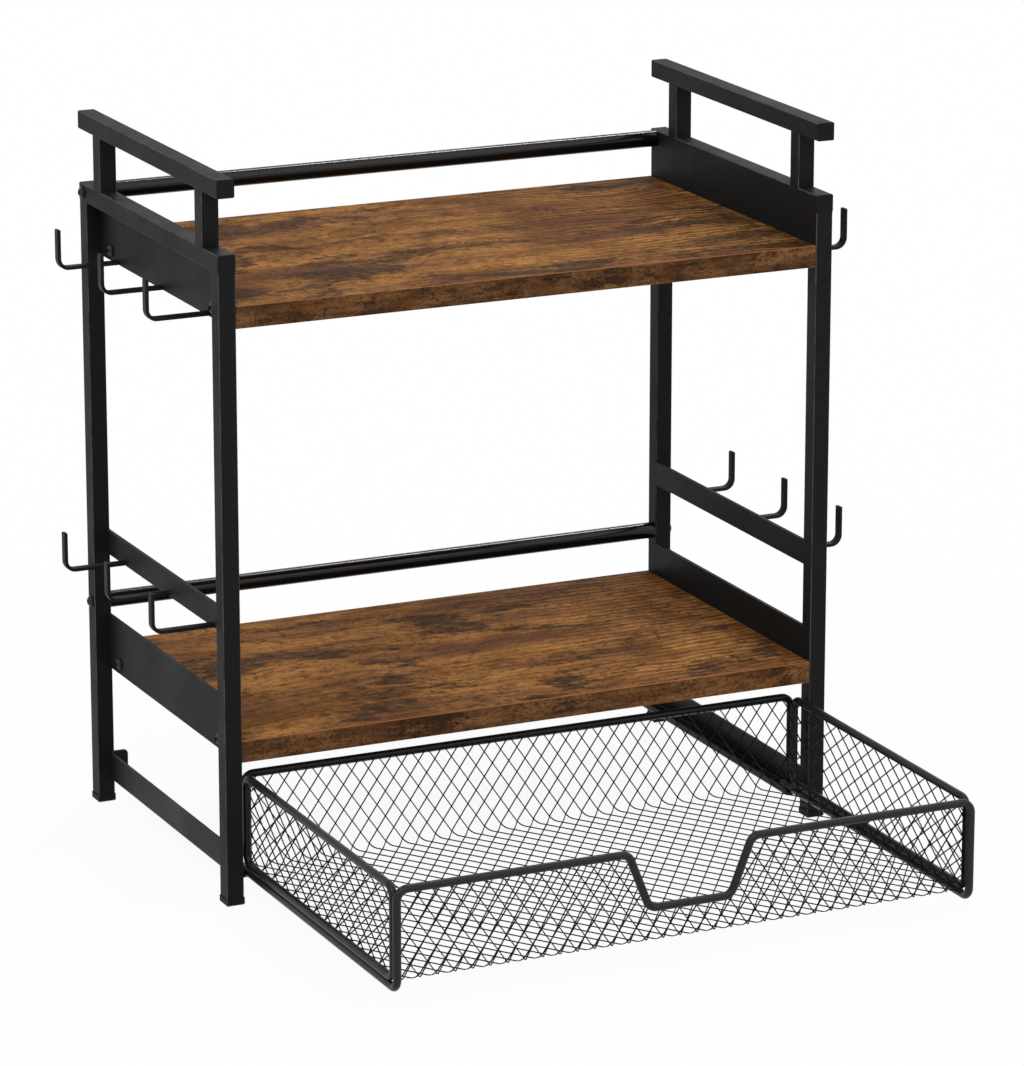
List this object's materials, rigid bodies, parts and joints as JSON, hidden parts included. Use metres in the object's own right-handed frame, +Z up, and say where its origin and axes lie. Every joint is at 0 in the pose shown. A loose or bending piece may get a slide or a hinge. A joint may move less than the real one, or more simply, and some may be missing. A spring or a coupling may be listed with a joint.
{
  "type": "coffee station organizer",
  "caption": "Two-tier countertop organizer with black square-tube side frames, brown boards, cup hooks on both sides, carrying handles and a pull-out wire mesh drawer.",
  "frame": {"origin": "on the counter, midway between the four feet of the fixed frame", "axes": "+X across the front, +Y from the front to the back, +Z up; the drawer pulls out towards -Y"},
  "size_m": [0.4168, 0.3989, 0.398],
  "materials": {
    "powder_coat": "fine textured matte black powder coat",
    "drawer_wire": "satin black powder coat",
    "drawer_mesh": "satin black powder coat",
    "gloss_rod": "glossy black paint",
    "board": "rustic brown grain, matte",
    "edge_band": "rustic brown edge strip, matte",
    "plastic_cap": "matte black",
    "bolt": "black oxide, satin",
    "insert": "zinc plated"
  },
  "bodies": {
    "frame": {"left_front_leg": "powder_coat", "right_front_leg": "powder_coat", "left_rear_leg": "powder_coat", "right_rear_leg": "powder_coat", "left_top_rail": "powder_coat", "right_top_rail": "powder_coat", "left_front_handle_post": "powder_coat", "right_front_handle_post": "powder_coat", "left_rear_handle_post": "powder_coat", "right_rear_handle_post": "powder_coat", "left_handle_bar": "powder_coat", "right_handle_bar": "powder_coat", "tube_end_caps": "plastic_cap", "left_front_foot_cap": "plastic_cap", "right_front_foot_cap": "plastic_cap", "left_rear_foot_cap": "plastic_cap", "right_rear_foot_cap": "plastic_cap", "left_upper_plate": "powder_coat", "right_upper_plate": "powder_coat", "left_hook_bar": "powder_coat", "right_hook_bar": "powder_coat", "left_lower_plate": "powder_coat", "right_lower_plate": "powder_coat", "left_upper_hooks": "powder_coat", "right_upper_hooks": "powder_coat", "left_lower_hooks": "powder_coat", "right_lower_hooks": "powder_coat", "left_drawer_rail": "powder_coat", "right_drawer_rail": "powder_coat", "upper_shelf": "board", "lower_shelf": "board", "upper_shelf_edge_bands": "edge_band", "lower_shelf_edge_bands": "edge_band", "shelf_inserts": "insert", "shelf_bolts": "bolt", "upper_rod": "gloss_rod", "lower_rod": "gloss_rod", "rod_bolts": "bolt"},
    "drawer": {"left_side_loop": "drawer_wire", "right_side_loop": "drawer_wire", "front_rim_wire": "drawer_wire", "back_rim_wire": "drawer_wire", "left_runner": "drawer_wire", "right_runner": "drawer_wire", "floor_mesh": "drawer_mesh", "front_mesh": "drawer_mesh", "back_mesh": "drawer_mesh", "left_side_mesh": "drawer_mesh", "right_side_mesh": "drawer_mesh"}
  },
  "joints": [
    {"name": "drawer_slide", "type": "slide", "parent": "frame", "child": "drawer", "axis": [0, 1, 0], "range_m": [0, 0.182]}
  ]
}
